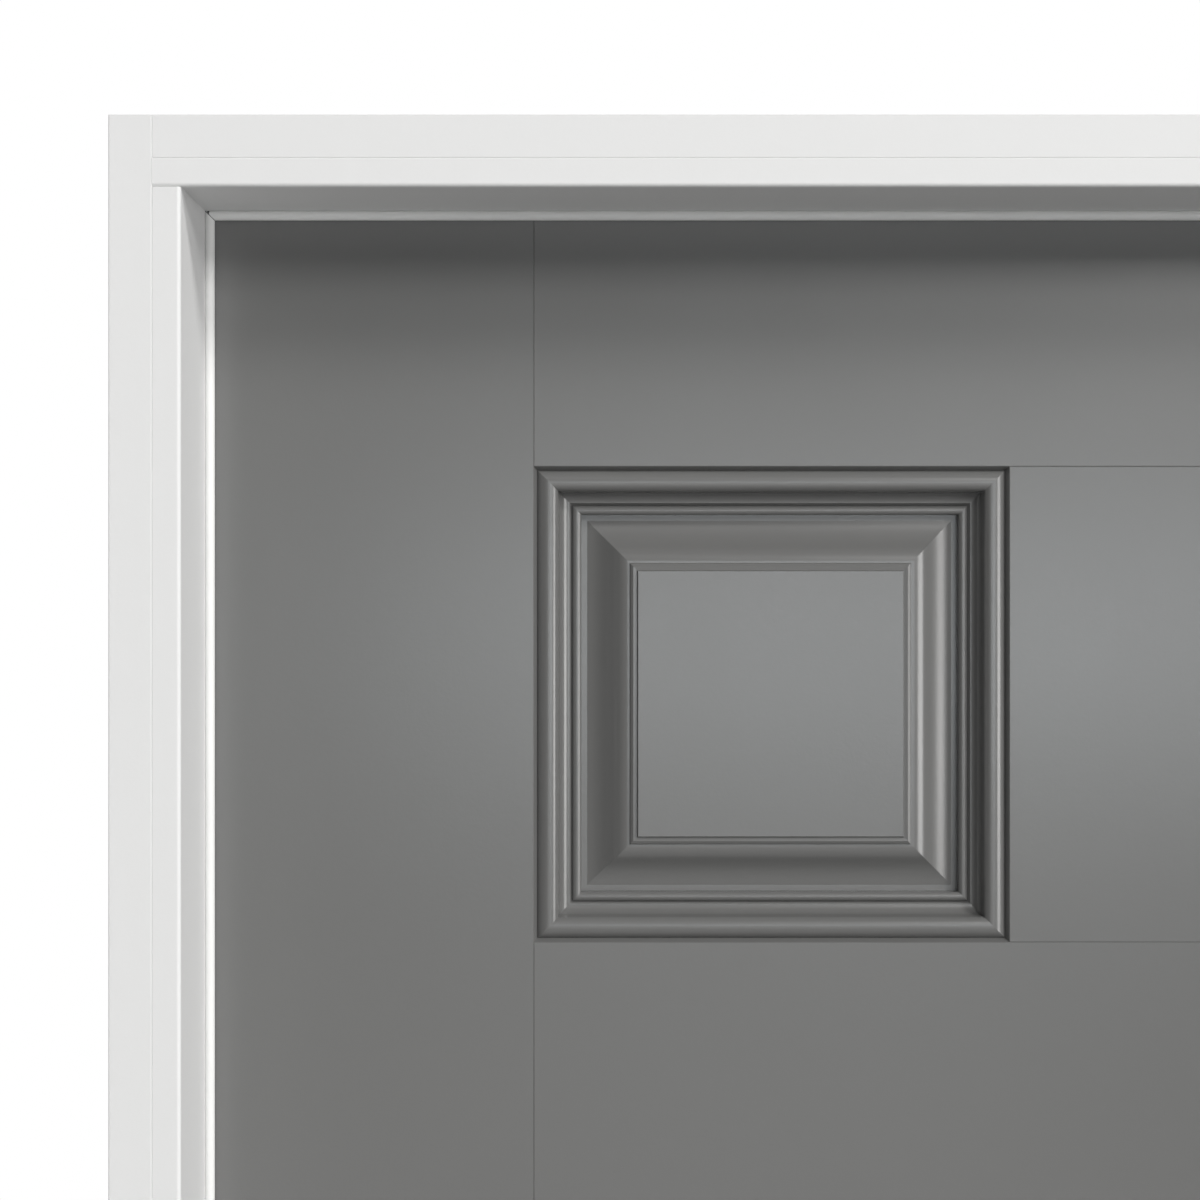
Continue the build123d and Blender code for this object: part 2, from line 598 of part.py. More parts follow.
def hinge_leaf(name, face_x, inward, level, first_knuckle):
    """A hinge plate with every second knuckle, let into the board edge at face_x.
    inward is the way into that board, -1 or 1 along X."""
    plate_edges = sorted((face_x, face_x + inward * HINGE_PLATE))
    bottom = level - HINGE_HEIGHT / 2
    with BuildPart() as leaf:
        extrude(plate_outline(face_x, level, 0), amount=inward * HINGE_PLATE)
        for number in range(first_knuckle, KNUCKLE_COUNT, 2):
            start = bottom + number * KNUCKLE_PITCH + KNUCKLE_GAP / 2
            arm = flat_area(Plane.XY.offset(start), *plate_edges, LEAF_INSIDE, HINGE_AXIS_Y)
            extrude(arm, amount=KNUCKLE_PITCH - KNUCKLE_GAP)
            with BuildSketch(Plane.XY.offset(start)):
                with Locations((HINGE_AXIS_X, HINGE_AXIS_Y)):
                    Circle(BARREL_RADIUS)
            extrude(amount=KNUCKLE_PITCH - KNUCKLE_GAP)
        with BuildSketch(Plane.XY.offset(bottom)):
            with Locations((HINGE_AXIS_X, HINGE_AXIS_Y)):
                Circle(PIN_RADIUS + PIN_CLEARANCE)
        extrude(amount=HINGE_HEIGHT, mode=Mode.SUBTRACT)
    save(leaf, name)


# Hinges: one plate on the jamb, one on the leaf, and a pin through the knuckles
for place, level in HINGE_LEVELS.items():
    hinge_leaf(f"hinge_frame_leaf_{place}", -JAMB_FACE, -1, level, 0)
    hinge_leaf(f"hinge_door_leaf_{place}", -LEAF_HALF, 1, level, 1)

with BuildPart() as hinge_pins:
    for level in HINGE_LEVELS.values():
        pin_top = level + HINGE_HEIGHT / 2 - KNUCKLE_GAP / 2
        with BuildSketch(Plane.XY.offset(pin_top)):
            with Locations((HINGE_AXIS_X, HINGE_AXIS_Y)):
                Circle(PIN_RADIUS)
        extrude(amount=-HINGE_HEIGHT)
        with BuildSketch(Plane.XY.offset(pin_top)):
            with Locations((HINGE_AXIS_X, HINGE_AXIS_Y)):
                Circle(PIN_HEAD_RADIUS)
        extrude(amount=PIN_HEAD_HEIGHT)
save(hinge_pins, "hinge_pins")
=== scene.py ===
# %% [markdown]
# This lesson dresses a front door. The construction, at its real size, comes in as a
# fixed frame: boards, panels, hinges and threshold, each a node of its own. Blender
# gives them their finishes and adds what is too small for construction, such as screws
# and the ribs of the tread. Nothing that comes in is moved.

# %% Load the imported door
import math

import bmesh
import bpy
from mathutils import Matrix, Vector


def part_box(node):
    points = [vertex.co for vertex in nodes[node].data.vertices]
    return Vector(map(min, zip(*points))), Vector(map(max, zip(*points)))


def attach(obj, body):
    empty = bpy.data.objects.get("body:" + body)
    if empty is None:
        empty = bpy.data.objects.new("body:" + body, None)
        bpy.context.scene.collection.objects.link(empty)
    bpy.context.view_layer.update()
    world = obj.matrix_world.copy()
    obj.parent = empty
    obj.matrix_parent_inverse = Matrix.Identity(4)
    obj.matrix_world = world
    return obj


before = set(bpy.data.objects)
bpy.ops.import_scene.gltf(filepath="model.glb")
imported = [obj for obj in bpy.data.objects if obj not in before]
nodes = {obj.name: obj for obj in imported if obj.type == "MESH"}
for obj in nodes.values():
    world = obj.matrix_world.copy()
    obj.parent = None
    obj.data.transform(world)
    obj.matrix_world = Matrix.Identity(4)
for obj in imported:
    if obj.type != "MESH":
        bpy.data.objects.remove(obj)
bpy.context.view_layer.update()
MM = 0.001  # a millimetre, in metres

# %% [markdown]
# The photograph looks straight at the upper left corner of the frame from about 1.1 m.
# The verticals stay parallel, so the camera is level and square to the door. A level
# camera needs no shift: it only has to stand at the height of the picture's middle.

# %% Stand the camera in front of the corner
CAMERA_DISTANCE = 1.1  # in front of the frame's outside face
CAMERA_IN = 0.2169  # from the frame's left edge to the picture's middle
CAMERA_DOWN = 0.2142  # from the frame's top edge to the picture's middle
CAMERA_LENS = 74.8

jamb_low, jamb_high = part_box("hinge_jamb")
aim = Vector((jamb_low.x + CAMERA_IN, 0, jamb_high.z - CAMERA_DOWN))

camera = bpy.data.objects.new("camera", bpy.data.cameras.new("camera"))
bpy.context.collection.objects.link(camera)
camera.data.lens = CAMERA_LENS
camera.location = aim - Vector((0, CAMERA_DISTANCE, 0))
camera.rotation_euler = (math.radians(90), 0, 0)
bpy.context.scene.camera = camera
bpy.context.scene.view_settings.view_transform = "Standard"
print("camera at", [round(value, 3) for value in camera.location])

# %% [markdown]
# A product picture on white has a white world that the camera sees and a softer one
# that lights the object. One switch in the world does both: the Light Path node says
# whether a ray came straight from the camera. The room is brighter above than below,
# as under studio ceiling panels, so undersides come out dark.

# %% Give the studio a white background and a soft room light
ROOM_BELOW = 0.01
ROOM_ABOVE = 0.04
ROOM_LOW_END = -0.1  # of a direction's height, which is 1 straight up
ROOM_HIGH_END = 0.9
ROOM_TINT = (1.0, 0.99, 0.98, 1)

world = bpy.data.worlds.new("studio")
bpy.context.scene.world = world
world.use_nodes = True
tree = world.node_tree
tree.nodes.clear()
heading = tree.nodes.new("ShaderNodeSeparateXYZ")
tree.links.new(tree.nodes.new("ShaderNodeTexCoord").outputs["Generated"], heading.inputs[0])
ramp = tree.nodes.new("ShaderNodeMapRange")
ramp.inputs["From Min"].default_value = ROOM_LOW_END
ramp.inputs["From Max"].default_value = ROOM_HIGH_END
ramp.inputs["To Min"].default_value = ROOM_BELOW
ramp.inputs["To Max"].default_value = ROOM_ABOVE
tree.links.new(heading.outputs[2], ramp.inputs["Value"])
room = tree.nodes.new("ShaderNodeBackground")
room.inputs["Color"].default_value = ROOM_TINT
tree.links.new(ramp.outputs[0], room.inputs["Strength"])
backdrop = tree.nodes.new("ShaderNodeBackground")
backdrop.inputs["Color"].default_value = (1, 1, 1, 1)
ray = tree.nodes.new("ShaderNodeLightPath")
choose = tree.nodes.new("ShaderNodeMixShader")
sky = tree.nodes.new("ShaderNodeOutputWorld")
tree.links.new(ray.outputs["Is Camera Ray"], choose.inputs[0])
tree.links.new(room.outputs[0], choose.inputs[1])
tree.links.new(backdrop.outputs[0], choose.inputs[2])
tree.links.new(choose.outputs[0], sky.inputs[0])
print("room light", ROOM_BELOW, "to", ROOM_ABOVE)

# %% [markdown]
# The head of the frame throws a soft shadow about 85 mm down the leaf, and the slopes of
# the upright mouldings that face right carry two bright lines. So the main light comes
# from the right. Two strong panels high up, the second further round and higher, cast the
# shadow and leave undersides dark. A long low strip further round still is what the
# upright mouldings mirror, and level ones don't. A weak panel low in front and one at the
# upper left soften the shadows. All of these stand far away, because then the frame is
# equally bright all along. The glow panel doesn't: it is long, flat and near the camera,
# and the satin paint mirrors it as a broad glow round the upper panel. The last panel is
# behind the door, far away too, and lights the inside face for the views from there.


# %% Place the lights
def light_panel(name, place, width, height, brightness, colour):
    """An area light at place that faces the aim, as bright as its radiance says."""
    panel = bpy.data.objects.new(name, bpy.data.lights.new(name, "AREA"))
    bpy.context.collection.objects.link(panel)
    panel.data.shape = "RECTANGLE"
    panel.data.size = width
    panel.data.size_y = height
    panel.data.energy = brightness * width * height * math.pi
    panel.data.color = colour
    panel.location = place
    panel.rotation_euler = (aim - place).to_track_quat("-Z", "Y").to_euler()
    panel.visible_camera = False


def studio_panel(name, bearing, rise, wide, high, brightness, colour):
    """A far panel. Bearing, rise, width and height are degrees as seen from the door."""
    side, up = math.radians(bearing), math.radians(rise)
    level = math.cos(up)
    direction = Vector((level * math.sin(side), -level * math.cos(side), math.sin(up)))
    size = [STUDIO_DISTANCE * math.radians(angle) for angle in (wide, high)]
    light_panel(name, aim + direction * STUDIO_DISTANCE, *size, brightness, colour)


STUDIO_DISTANCE = 20
WHITE_LIGHT = (1.0, 1.0, 1.0)
WARM_LIGHT = (1.0, 0.995, 0.985)
WARMER_LIGHT = (1.0, 0.99, 0.97)
GLOW_COLOUR = (0.91, 0.96, 0.99)
GLOW_PLACE = aim + Vector((0.5, -3.0, -0.05))
GLOW_SIZE = (1.7, 0.35)
GLOW_BRIGHTNESS = 4.1
FRONT_PANELS = (  # name, bearing, rise, width, height, brightness, colour
    ("high_light", 25, 22, 10, 12, 34.0, WARM_LIGHT),
    ("side_light", 45, 36, 10, 12, 42.0, WARM_LIGHT),
    ("strip_light", 55, -2, 30, 12, 6.1, WARM_LIGHT),
    ("front_light", 3, -16, 20, 12, 1.1, WARMER_LIGHT),
    ("left_light", -20, 36, 10, 12, 7.5, WARM_LIGHT),
)
BACK_PANEL = ("back_light", 205, 28, 20, 20, 11.0, WHITE_LIGHT)

for panel in FRONT_PANELS:
    studio_panel(*panel)
light_panel("glow_light", GLOW_PLACE, *GLOW_SIZE, GLOW_BRIGHTNESS, GLOW_COLOUR)
studio_panel(*BACK_PANEL)
print("lights placed:", len(bpy.data.lights))

# %% [markdown]
# The floor is plain and pale. It isn't part of the door.

# %% Lay the floor
FLOOR_HALF = 6.0
FLOOR_DROP = 0.0005  # keeps the floor clear of the sill's underside

quarters = ((-1, -1), (1, -1), (1, 1), (-1, 1))
corners = [(x * FLOOR_HALF, y * FLOOR_HALF, -FLOOR_DROP) for x, y in quarters]
floor_mesh = bpy.data.meshes.new("floor")
floor_mesh.from_pydata(corners, [], [(0, 1, 2, 3)])
floor = bpy.data.objects.new("floor", floor_mesh)
bpy.context.collection.objects.link(floor)
print("floor laid,", 2 * FLOOR_HALF, "m square")

# %% [markdown]
# Every material below starts from one Principled BSDF. Textures are read in the door's
# own metres, so a grain that is 2 mm wide on the real thing is 2 mm wide here. What
# several finishes share is a node group, built once, that puts out masks and heights.
# The shader itself stays in the material, where the gloss is set on its own sockets.


# %% Helpers that start a material and a shared group
def start_material(name, colour, roughness, **sockets):
    """A material with a Principled BSDF, whose constant values sit on its own sockets."""
    material = bpy.data.materials.new(name)
    material.use_nodes = True
    shader = material.node_tree.nodes["Principled BSDF"]
    shader.inputs["Base Color"].default_value = (*colour, 1)
    shader.inputs["Roughness"].default_value = roughness
    for socket, value in sockets.items():
        shader.inputs[socket.replace("_", " ")].default_value = value
    return material, material.node_tree, shader


def start_group(name, inputs, outputs):
    """An empty shader node group with float inputs, given with defaults, and outputs."""
    group = bpy.data.node_groups.new(name, "ShaderNodeTree")
    for socket, default in inputs.items():
        made = group.interface.new_socket(socket, in_out="INPUT", socket_type="NodeSocketFloat")
        made.default_value = default
    for socket in outputs:
        group.interface.new_socket(socket, in_out="OUTPUT", socket_type="NodeSocketFloat")
    return group, group.nodes.new("NodeGroupInput"), group.nodes.new("NodeGroupOutput")


def place_group(tree, group, **values):
    """Puts a shared group into a material, with its own values."""
    node = tree.nodes.new("ShaderNodeGroup")
    node.node_tree = group
    for socket, value in values.items():
        node.inputs[socket.replace("_", " ")].default_value = value
    return node


# %% [markdown]
# The next helpers join nodes. A value is either a constant or another node's socket, and
# one helper tells them apart, so the others read like sums.


# %% Helpers that join nodes
def feed(tree, value, socket):
    """Gives a socket its value: another socket, a number or a colour of three numbers."""
    if isinstance(value, bpy.types.NodeSocket):
        tree.links.new(value, socket)
    elif isinstance(value, tuple):
        socket.default_value = (*value, 1)
    else:
        socket.default_value = value


def math_node(tree, operation, first, second):
    """A Math node. Each operand is a socket or a number."""
    node = tree.nodes.new("ShaderNodeMath")
    node.operation = operation
    feed(tree, first, node.inputs[0])
    feed(tree, second, node.inputs[1])
    return node.outputs[0]


def mix_colours(tree, share, dark, light):
    """A colour between two, by a socket's share."""
    node = tree.nodes.new("ShaderNodeMix")
    node.data_type = "RGBA"
    tree.links.new(share, node.inputs["Factor"])
    feed(tree, dark, node.inputs[6])
    feed(tree, light, node.inputs[7])
    return node.outputs[2]


def object_place(tree):
    """Where a point lies on the object, in metres."""
    return tree.nodes.new("ShaderNodeTexCoord").outputs["Object"]


def stretched_place(tree, *stretches):
    """Where a point lies, with X, Y and Z squeezed, so that a texture there is stretched."""
    split = tree.nodes.new("ShaderNodeSeparateXYZ")
    tree.links.new(object_place(tree), split.inputs[0])
    joined = tree.nodes.new("ShaderNodeCombineXYZ")
    for part, stretch, socket in zip(split.outputs, stretches, joined.inputs):
        tree.links.new(math_node(tree, "DIVIDE", part, stretch), socket)
    return joined.outputs[0]


def noise(tree, place, size, **sockets):
    """Noise from 0 to 1 whose grain is size metres across."""
    node = tree.nodes.new("ShaderNodeTexNoise")
    for socket, value in sockets.items():
        node.inputs[socket].default_value = value
    tree.links.new(place, node.inputs["Vector"])
    tree.links.new(math_node(tree, "DIVIDE", 1.0, size), node.inputs["Scale"])
    return node.outputs["Fac"]


# %% [markdown]
# What a shared group puts out reaches a surface in one of three ways: as its colour, as
# its gloss, or as its relief.


# %% Helpers that let a surface vary
def vary_colour(tree, shader, share, dark, light):
    """Lets the colour run between two."""
    tree.links.new(mix_colours(tree, share, dark, light), shader.inputs["Base Color"])


def vary_gloss(tree, shader, mask, roughness, spread):
    """Lets the roughness run over a spread, with the given roughness in its middle."""
    varied = math_node(tree, "MULTIPLY", mask, spread)
    rough = math_node(tree, "ADD", varied, roughness - spread / 2)
    tree.links.new(rough, shader.inputs["Roughness"])


def raise_surface(tree, shader, height, distance):
    """Bumps a shader's normal by a height from 0 to 1 that is distance metres deep."""
    bump = tree.nodes.new("ShaderNodeBump")
    bump.inputs["Distance"].default_value = distance
    tree.links.new(height, bump.inputs["Height"])
    tree.links.new(bump.outputs[0], shader.inputs["Normal"])


# %% [markdown]
# Sprayed paint is never quite flat. The film has a fine orange peel about a millimetre
# and a half across, and over a hand's width its colour and gloss drift a little. One
# group makes the three masks for both paints, and each finish says how coarse they are.


# %% Build the paint film group
def make_paint_film():
    """Orange peel, drift of tone and drift of gloss over a painted surface."""
    group, given, made = start_group(
        "paint_film", {"Peel size": 0.0016, "Drift size": 0.22}, ("Peel", "Tone", "Gloss")
    )
    place = object_place(group)
    drift = given.outputs["Drift size"]
    blotch = math_node(group, "MULTIPLY", drift, BLOTCH_SHARE)
    for output, size, detail, roughness in (
        ("Peel", given.outputs["Peel size"], 2.0, 0.45),
        ("Tone", drift, 3.0, 0.5),
        ("Gloss", blotch, 4.0, 0.5),
    ):
        mask = noise(group, place, size, Detail=detail, Roughness=roughness)
        group.links.new(mask, made.inputs[output])
    return group


BLOTCH_SHARE = 0.35  # a patch of other gloss is this much of a patch of other tone
paint_film = make_paint_film()
print("group", paint_film.name)

# %% [markdown]
# Timber shows in the cap of the threshold and inside the lock's bores, where the paint
# stops. Grain is noise stretched along the board: long along one axis, fine across it.


# %% Build the timber grain group
def make_timber_grain():
    """Growth bands and pores of a board whose length runs along X."""
    group, given, made = start_group(
        "timber_grain", {"Band size": 0.006, "Stretch": 18.0}, ("Bands", "Pores")
    )
    place = stretched_place(group, given.outputs["Stretch"], 1.0, 1.0)
    for output, share, detail in (("Bands", 1.0, 4.0), ("Pores", PORE_SHARE, 2.0)):
        size = math_node(group, "MULTIPLY", given.outputs["Band size"], share)
        mask = noise(group, place, size, Detail=detail, Distortion=GRAIN_WAVE)
        group.links.new(mask, made.inputs[output])
    return group


PORE_SHARE = 0.12  # of a band's width
GRAIN_WAVE = 0.4
timber_grain = make_timber_grain()
print("group", timber_grain.name)

# %% [markdown]
# Brushed metal has fine scratches in one direction. The hinges and the tread share the
# group, with their own direction.


# %% Build the brushed metal group
def make_brushed_lines():
    """Fine parallel scratches. Along X, along Y and along Z say how far they stretch."""
    group, given, made = start_group(
        "brushed_lines",
        {"Line size": 0.0004, "Along X": 1.0, "Along Y": 1.0, "Along Z": 1.0},
        ("Lines", "Smudge"),
    )
    along = [given.outputs["Along " + axis] for axis in "XYZ"]
    lines = noise(group, stretched_place(group, *along), given.outputs["Line size"], Detail=2.0)
    group.links.new(lines, made.inputs["Lines"])
    smudge = noise(group, object_place(group), SMUDGE_SIZE, Detail=3.0)
    group.links.new(smudge, made.inputs["Smudge"])
    return group


SMUDGE_SIZE = 1 / 30  # about two fingers wide
brushed_lines = make_brushed_lines()
print("group", brushed_lines.name)

# %% [markdown]
# The two paints are the same satin enamel in two colours. The grey one drifts a little
# between a warmer and a cooler grey, as the photograph shows.


# %% Mix the two paints
def paint(name, warm, cool, roughness, spread, **sockets):
    """A satin paint between two near colours, with its orange peel."""
    material, tree, shader = start_material(name, warm, roughness, **sockets)
    film = place_group(tree, paint_film)
    vary_colour(tree, shader, film.outputs["Tone"], warm, cool)
    vary_gloss(tree, shader, film.outputs["Gloss"], roughness, spread)
    raise_surface(tree, shader, film.outputs["Peel"], PEEL_DEPTH)
    return material


PEEL_DEPTH = 0.00002
WARM_GREY = (0.147, 0.146, 0.143)
COOL_GREY = (0.149, 0.149, 0.147)
WARM_WHITE = (0.786, 0.786, 0.783)
COOL_WHITE = (0.796, 0.796, 0.796)
grey_paint = paint("grey_paint", WARM_GREY, COOL_GREY, 0.26, 0.04, Specular_IOR_Level=1.0)
white_paint = paint("white_paint", WARM_WHITE, COOL_WHITE, 0.55, 0.06, Specular_IOR_Level=0.35)
print("paints:", grey_paint.name, white_paint.name)

# %% [markdown]
# The bores for the lock go through the paint into the timber. A mask made from each
# point's distance to a bore's axis turns the paint to bare wood inside it, so the stile
# needs no second mesh. The cross bores start and end at the stile's two faces, so their
# mask stops just short of these, and the faces round them stay painted.

# %% Paint the lock stile, with bare wood in its bores
BORE_BACK = 0.06985  # from the leaf's lock edge to the middle of the cross bores
BORE_LEVELS = (0.914, 1.0537)
BORE_RADIUS = 0.02699
BORE_WALL = 0.0002  # how far outside the bore's radius the bare wood reaches
EDGE_BORE_RADIUS = 0.0127
BORE_GRAIN = 0.003
BARE_WOOD_DARK = (0.42, 0.29, 0.17)
BARE_WOOD_LIGHT = (0.6, 0.45, 0.29)

stile_low, stile_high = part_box("lock_stile")
bore_x = stile_high.x - BORE_BACK
bore_y = (stile_low.y + stile_high.y) / 2


def inside_bore(tree, across, along, middle_across, middle_along, radius):
    """1 within radius of a bore's axis, measured in the two directions across it."""
    squares = []
    for value, middle in ((across, middle_across), (along, middle_along)):
        away = math_node(tree, "SUBTRACT", value, middle)
        squares.append(math_node(tree, "MULTIPLY", away, away))
    return math_node(tree, "LESS_THAN", math_node(tree, "ADD", *squares), (radius + BORE_WALL) ** 2)


bored_paint = grey_paint.copy()
bored_paint.name = "grey_paint_bored"
tree = bored_paint.node_tree
shader = tree.nodes["Principled BSDF"]
painted = shader.inputs["Base Color"].links[0].from_socket
spot = tree.nodes.new("ShaderNodeSeparateXYZ")
tree.links.new(object_place(tree), spot.inputs[0])
x, y, z = spot.outputs
behind_front = math_node(tree, "GREATER_THAN", y, stile_low.y + BORE_WALL)
before_back = math_node(tree, "LESS_THAN", y, stile_high.y - BORE_WALL)
within_faces = math_node(tree, "MULTIPLY", behind_front, before_back)
bare = 0.0
for level in BORE_LEVELS:
    cross_bore = inside_bore(tree, x, z, bore_x, level, BORE_RADIUS)
    cross_bore = math_node(tree, "MULTIPLY", cross_bore, within_faces)
    edge_bore = inside_bore(tree, y, z, bore_y, level, EDGE_BORE_RADIUS)
    bare = math_node(tree, "MAXIMUM", bare, cross_bore)
    bare = math_node(tree, "MAXIMUM", bare, edge_bore)
grain = place_group(tree, timber_grain, Band_size=BORE_GRAIN)
wood = mix_colours(tree, grain.outputs["Bands"], BARE_WOOD_DARK, BARE_WOOD_LIGHT)
vary_colour(tree, shader, bare, painted, wood)
print("bores at x", round(bore_x, 4), "levels", BORE_LEVELS)

# %% [markdown]
# The seals are foam in a thin plastic skin, so they are matt, near white and a little
# soft under the light. The sweep and the corner pads are black rubber and foam. The paint
# film's noise, with a finer grain, serves for their skins too.


# %% Make the seal, rubber and foam
def soft_skin(name, dark, light, roughness, grain_size, grain_depth):
    """A matt skin or foam with a fine grain."""
    material, tree, shader = start_material(name, dark, roughness)
    film = place_group(tree, paint_film, Peel_size=grain_size, Drift_size=SKIN_DRIFT)
    vary_colour(tree, shader, film.outputs["Tone"], dark, light)
    raise_surface(tree, shader, film.outputs["Peel"], grain_depth)
    return material


def grey(level):
    """An even grey, as three equal numbers."""
    return (level, level, level)


SKIN_DRIFT = 0.05
SEAL_DARK, SEAL_LIGHT = (0.78, 0.78, 0.77), (0.82, 0.82, 0.81)
FOAM_DARK, FOAM_LIGHT = (0.05, 0.05, 0.052), (0.09, 0.09, 0.092)
seal_skin = soft_skin("seal_skin", SEAL_DARK, SEAL_LIGHT, 0.55, 0.0008, 0.00003)
black_rubber = soft_skin("black_rubber", grey(0.018), grey(0.03), 0.6, 0.0005, 0.00002)
pad_foam = soft_skin("pad_foam", FOAM_DARK, FOAM_LIGHT, 0.9, 0.0009, 0.0004)
# gap_shade is painted shade: a near black skin for the wedge where the seals' mitre opens.
gap_shade = soft_skin("gap_shade", grey(0.03), grey(0.045), 0.8, 0.0004, 0.00001)
print("soft skins made")


# %% [markdown]
# The tread is mill aluminium, drawn through a die, so its lines run along its length.
# The hinges are satin nickel, brushed up and down.


# %% Make the metals
def brushed_metal(name, dark, light, roughness, line_depth, **direction):
    """A metal with fine parallel scratches."""
    material, tree, shader = start_material(name, dark, roughness, Metallic=1.0)
    lines = place_group(tree, brushed_lines, **direction)
    vary_colour(tree, shader, lines.outputs["Smudge"], dark, light)
    vary_gloss(tree, shader, lines.outputs["Lines"], roughness, LINE_SPREAD)
    raise_surface(tree, shader, lines.outputs["Lines"], line_depth)
    return material


LINE_SPREAD = 0.16  # of roughness, from a scratch to the metal beside it
HINGE_DARK, HINGE_LIGHT = (0.55, 0.53, 0.5), (0.63, 0.61, 0.58)
SCREW_DARK, SCREW_LIGHT = (0.5, 0.48, 0.45), (0.58, 0.56, 0.53)
# The recess colours are painted shade: a near black metal for the band round each screw head and
# the inside of its cross, where shade falls.
RECESS_SHADE_DARK, RECESS_SHADE_LIGHT = (0.05, 0.048, 0.045), (0.09, 0.087, 0.082)
tread_metal = brushed_metal("tread_metal", grey(0.58), grey(0.66), 0.36, 0.00002, Along_X=60.0)
hinge_metal = brushed_metal("hinge_metal", HINGE_DARK, HINGE_LIGHT, 0.3, 0.00001, Along_Z=30.0)
screw_metal = brushed_metal("screw_metal", SCREW_DARK, SCREW_LIGHT, 0.28, 0.00001, Along_Z=2.0)
screw_recess_shade = brushed_metal("screw_recess_shade", RECESS_SHADE_DARK, RECESS_SHADE_LIGHT, 0.5, 0.00001)
print("metals made")


# %% [markdown]
# The cap is oiled oak and the sill under it a brown wood composite. Both use the timber
# grain: the oak with clear bands, the composite with short broken ones.


# %% Make the timbers
def timber(name, dark, light, roughness, band_size, stretch, pore_depth):
    """Unpainted timber with bands and open pores along X."""
    material, tree, shader = start_material(name, dark, roughness)
    grain = place_group(tree, timber_grain, Band_size=band_size, Stretch=stretch)
    vary_colour(tree, shader, grain.outputs["Bands"], dark, light)
    raise_surface(tree, shader, grain.outputs["Pores"], pore_depth)
    return material


OAK_DARK, OAK_LIGHT = (0.25, 0.14, 0.07), (0.5, 0.33, 0.18)
SILL_DARK, SILL_LIGHT = (0.14, 0.1, 0.07), (0.24, 0.18, 0.13)
oiled_oak = timber("oiled_oak", OAK_DARK, OAK_LIGHT, 0.45, 0.005, 22.0, 0.00008)
sill_composite = timber("sill_composite", SILL_DARK, SILL_LIGHT, 0.75, 0.003, 4.0, 0.0002)
print("timbers made")

# %% [markdown]
# The floor is pale to the camera, but a pale floor would throw light up under the head
# of the frame, where the photograph is dark. So it has the same switch as the world: to
# every ray but the camera's own it is darker.

# %% Finish the floor
FLOOR_PALE = grey(0.86)
FLOOR_BOUNCE = grey(0.34)
FLOOR_ROUGHNESS = 0.7
floor_paint, tree, shader = start_material("floor_paint", FLOOR_PALE, FLOOR_ROUGHNESS)
ray = tree.nodes.new("ShaderNodeLightPath")
vary_colour(tree, shader, ray.outputs["Is Camera Ray"], FLOOR_BOUNCE, FLOOR_PALE)
floor_mesh.materials.append(floor_paint)
print("floor finished")


# %% [markdown]
# The construction has hinge plates and pins, but no screws. A hinge screw's head lies in a
# countersink: nearly flush, with a thin line of shade round it and a cross recess. One head
# is drawn in bmesh as rings and a cross, and laid at every place; the line round it and the
# recess are painted shade. Each is turned a little differently, because nobody lines up
# hinge screws.


# %% Draw the rings and the cross of a screw head
HEAD_RADIUS = 4.2 * MM
CROSS_HALF = 0.55 * MM  # half the width of an arm
CROSS_REACH = 2.5 * MM
RING_COUNT = 28


def ring(build, radius, height):
    """A closed ring of vertices round the screw's axis."""
    turns = [2 * math.pi * step / RING_COUNT for step in range(RING_COUNT)]
    around = [(radius * math.cos(turn), radius * math.sin(turn)) for turn in turns]
    return [build.verts.new((x, y, height)) for x, y in around]


def cross(build, share, height):
    """The outline of the cross recess, at a share of its full size."""
    half, reach = CROSS_HALF * share, CROSS_REACH * share
    quarter = [(reach, -half), (reach, half), (half, half)]
    outline = []
    for _ in range(4):
        outline += quarter
        quarter = [(-y, x) for x, y in quarter]
    return [build.verts.new((x, y, height)) for x, y in outline]


def skin(build, first, second, material_index):
    """Faces between two closed rows of vertices."""
    for step in range(len(first)):
        after = (step + 1) % len(first)
        face = build.faces.new((first[step], first[after], second[after], second[step]))
        face.material_index = material_index


print("a ring has", RING_COUNT, "points")

# %% [markdown]
# From outside in, a head is a thin sloping band of painted shade, a low wall, a narrow bevel
# and the flat face. The face is filled between its edge and the mouth of the cross, and the
# recess narrows to a floor. The plate is metal number 0, what lies in shade is number 1: a
# near black metal, painted shade.

# %% Build a countersunk screw head
METAL, SHADE = 0, 1
HEAD_RISE = 0.3 * MM  # above the plate
RIM_SHARE = 0.5  # of the rise, where the bevel starts
FACE_SHARE = 0.93  # of the radius, where the bevel ends
# The dark line round the head is painted shade, a band of near black metal.
GAP_SHARE = 1.12  # of the radius, where the dark line round the head starts
GAP_RISE = 0.02 * MM
FOOT_SHARE = 1.01
FOOT_RISE = 0.03 * MM
RECESS_DEPTH = 0.26 * MM
RECESS_SHARE = 0.8  # the recess's floor, of its mouth


